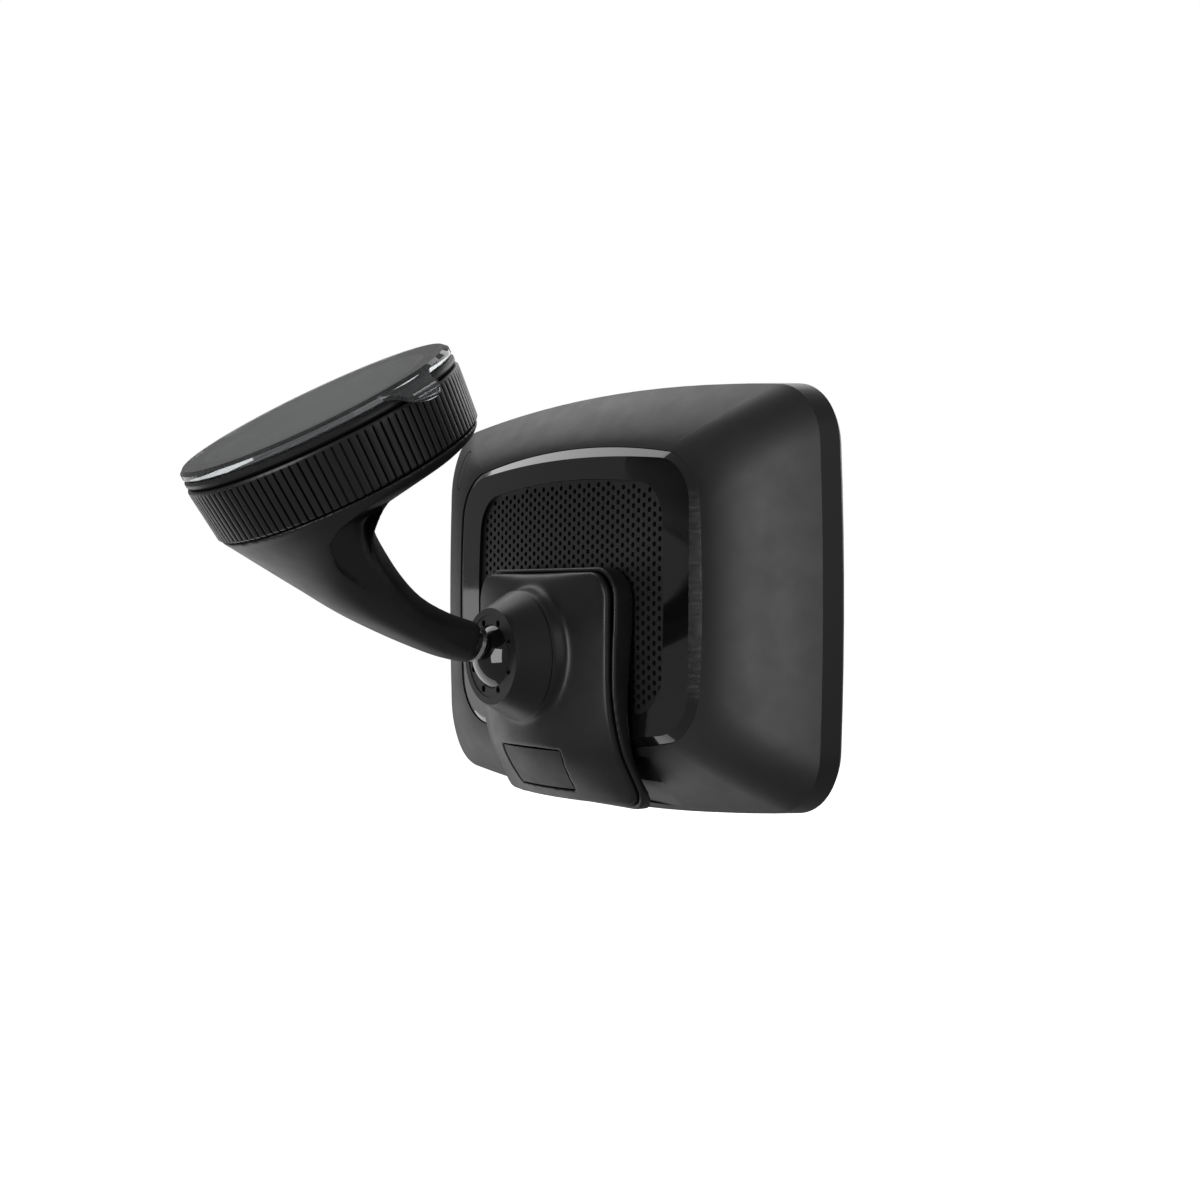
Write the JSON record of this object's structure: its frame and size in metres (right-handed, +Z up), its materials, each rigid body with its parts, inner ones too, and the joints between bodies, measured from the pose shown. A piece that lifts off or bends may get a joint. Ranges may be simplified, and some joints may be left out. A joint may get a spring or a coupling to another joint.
{
  "type": "car satellite navigator on a windscreen suction mount",
  "caption": "Portable car navigator clipped in a powered dock, on a ball-jointed arm with a twist-lock suction cup for a windscreen.",
  "frame": {"origin": "centre of the suction pad's flat face", "axes": "+Z up with the navigator upright, +Y horizontal towards the windscreen, +X along the navigator's long side, to the driver's right as they look at the screen"},
  "size_m": [0.1416, 0.1052, 0.0999],
  "materials": {
    "arm_plastic": "fine satin moulding",
    "mount_plastic": "satin moulding",
    "gel": "clear soft polyurethane gel",
    "ball_gloss": "polished black ball",
    "steel": "plain bright steel",
    "liner": "low-friction acetal",
    "dock_plastic": "satin moulding",
    "button_plastic": "flat matt moulding",
    "soft_touch": "soft-touch coating",
    "bezel_plastic": "satin moulding",
    "screen_glass": "black-bordered touch glass",
    "piano_gloss": "piano-black gloss",
    "grille_plastic": "satin moulding",
    "circuit_board": "solder-masked laminate",
    "ceramic": "unglazed ceramic",
    "magnesium": "chromated magnesium",
    "cell_wrap": "heat-shrink wrap",
    "foam": "closed-cell foam",
    "paper": "pressed paper"
  },
  "bodies": {
    "mount": {"arm": "arm_plastic", "ball_stud": "ball_gloss", "neck_washer": "steel", "suction_base": "mount_plastic", "base_screws": "steel", "pad_retaining_ring": "mount_plastic", "suction_pad": "gel", "lift_spring": "steel"},
    "lock_ring": {"lock_ring": "mount_plastic"},
    "pad_lift": {"pad_core": "mount_plastic", "lift_stem": "mount_plastic"},
    "liner_a": {"liner_inner": "liner"},
    "liner_b": {"liner_outer": "liner"},
    "dock": {"dock_cover": "dock_plastic", "dock_frame": "dock_plastic", "socket_seat": "dock_plastic", "wave_spring": "steel", "socket_collar": "dock_plastic", "socket_ring": "dock_plastic", "contact_block": "dock_plastic", "power_inlet": "steel", "dock_screws": "steel", "button_springs": "steel"},
    "release": {"release_button": "button_plastic"},
    "latch": {"latch_slide": "dock_plastic"},
    "unit": {"back_shell": "soft_touch", "front_bezel": "bezel_plastic", "touch_glass": "screen_glass", "lcd_module": "steel", "mid_frame": "magnesium", "main_board": "circuit_board", "shield_can": "steel", "gps_antenna": "ceramic", "battery": "cell_wrap", "battery_foam": "foam", "speaker_basket": "grille_plastic", "speaker_cone": "paper", "speaker_magnet": "steel", "speaker_gasket": "foam", "surround_ring": "piano_gloss", "speaker_grille": "grille_plastic", "contact_pads": "steel", "power_switch": "circuit_board", "usb_port": "steel", "microphone": "circuit_board", "housing_screws": "steel"},
    "power_key": {"power_button": "button_plastic"}
  },
  "joints": [
    {"name": "lock_ring_turn", "type": "hinge", "parent": "mount", "child": "lock_ring", "pos_m": [0, 0, 0], "axis": [0, 0.4953, 0.8687], "range_deg": [0, 90]},
    {"name": "pad_lift", "type": "slide", "parent": "mount", "child": "pad_lift", "axis": [0, -0.4953, -0.8687], "range_m": [0, 0.003], "deforming": ["lift_spring"]},
    {"name": "ball_tilt", "type": "hinge", "parent": "mount", "child": "liner_a", "pos_m": [0, -0.04716, -0.05136], "axis": [1, 0, 0], "range_deg": [-10, 30]},
    {"name": "ball_pan", "type": "hinge", "parent": "liner_a", "child": "liner_b", "pos_m": [0, -0.04716, -0.05136], "axis": [0, 0, 1], "range_deg": [-18, 18]},
    {"name": "ball_roll", "type": "hinge", "parent": "liner_b", "child": "dock", "pos_m": [0, -0.04716, -0.05136], "axis": [0, 1, 0], "range_deg": [-30, 30]},
    {"name": "release_press", "type": "slide", "parent": "dock", "child": "release", "axis": [0, -1, 0], "range_m": [0, 0.0012], "stiffness_N_per_m": 2500, "springref_m": -0.0008, "deforming": ["button_springs"]},
    {"name": "latch_retract", "type": "slide", "parent": "dock", "child": "latch", "axis": [0, -0.3024, -0.9532], "range_m": [0, 0.0012]},
    {"name": "unit_release", "type": "slide", "parent": "dock", "child": "unit", "axis": [0, -1, 0], "range_m": [0, 0.03]},
    {"name": "power_press", "type": "slide", "parent": "unit", "child": "power_key", "axis": [0, -1, 0], "range_m": [0, 0.0006], "stiffness_N_per_m": 1500, "springref_m": -0.0004}
  ],
  "couplings": [
    {"joint": "pad_lift", "follows": "lock_ring_turn", "m_per_rad": 0.0019099},
    {"joint": "latch_retract", "follows": "release_press", "ratio": 1}
  ]
}
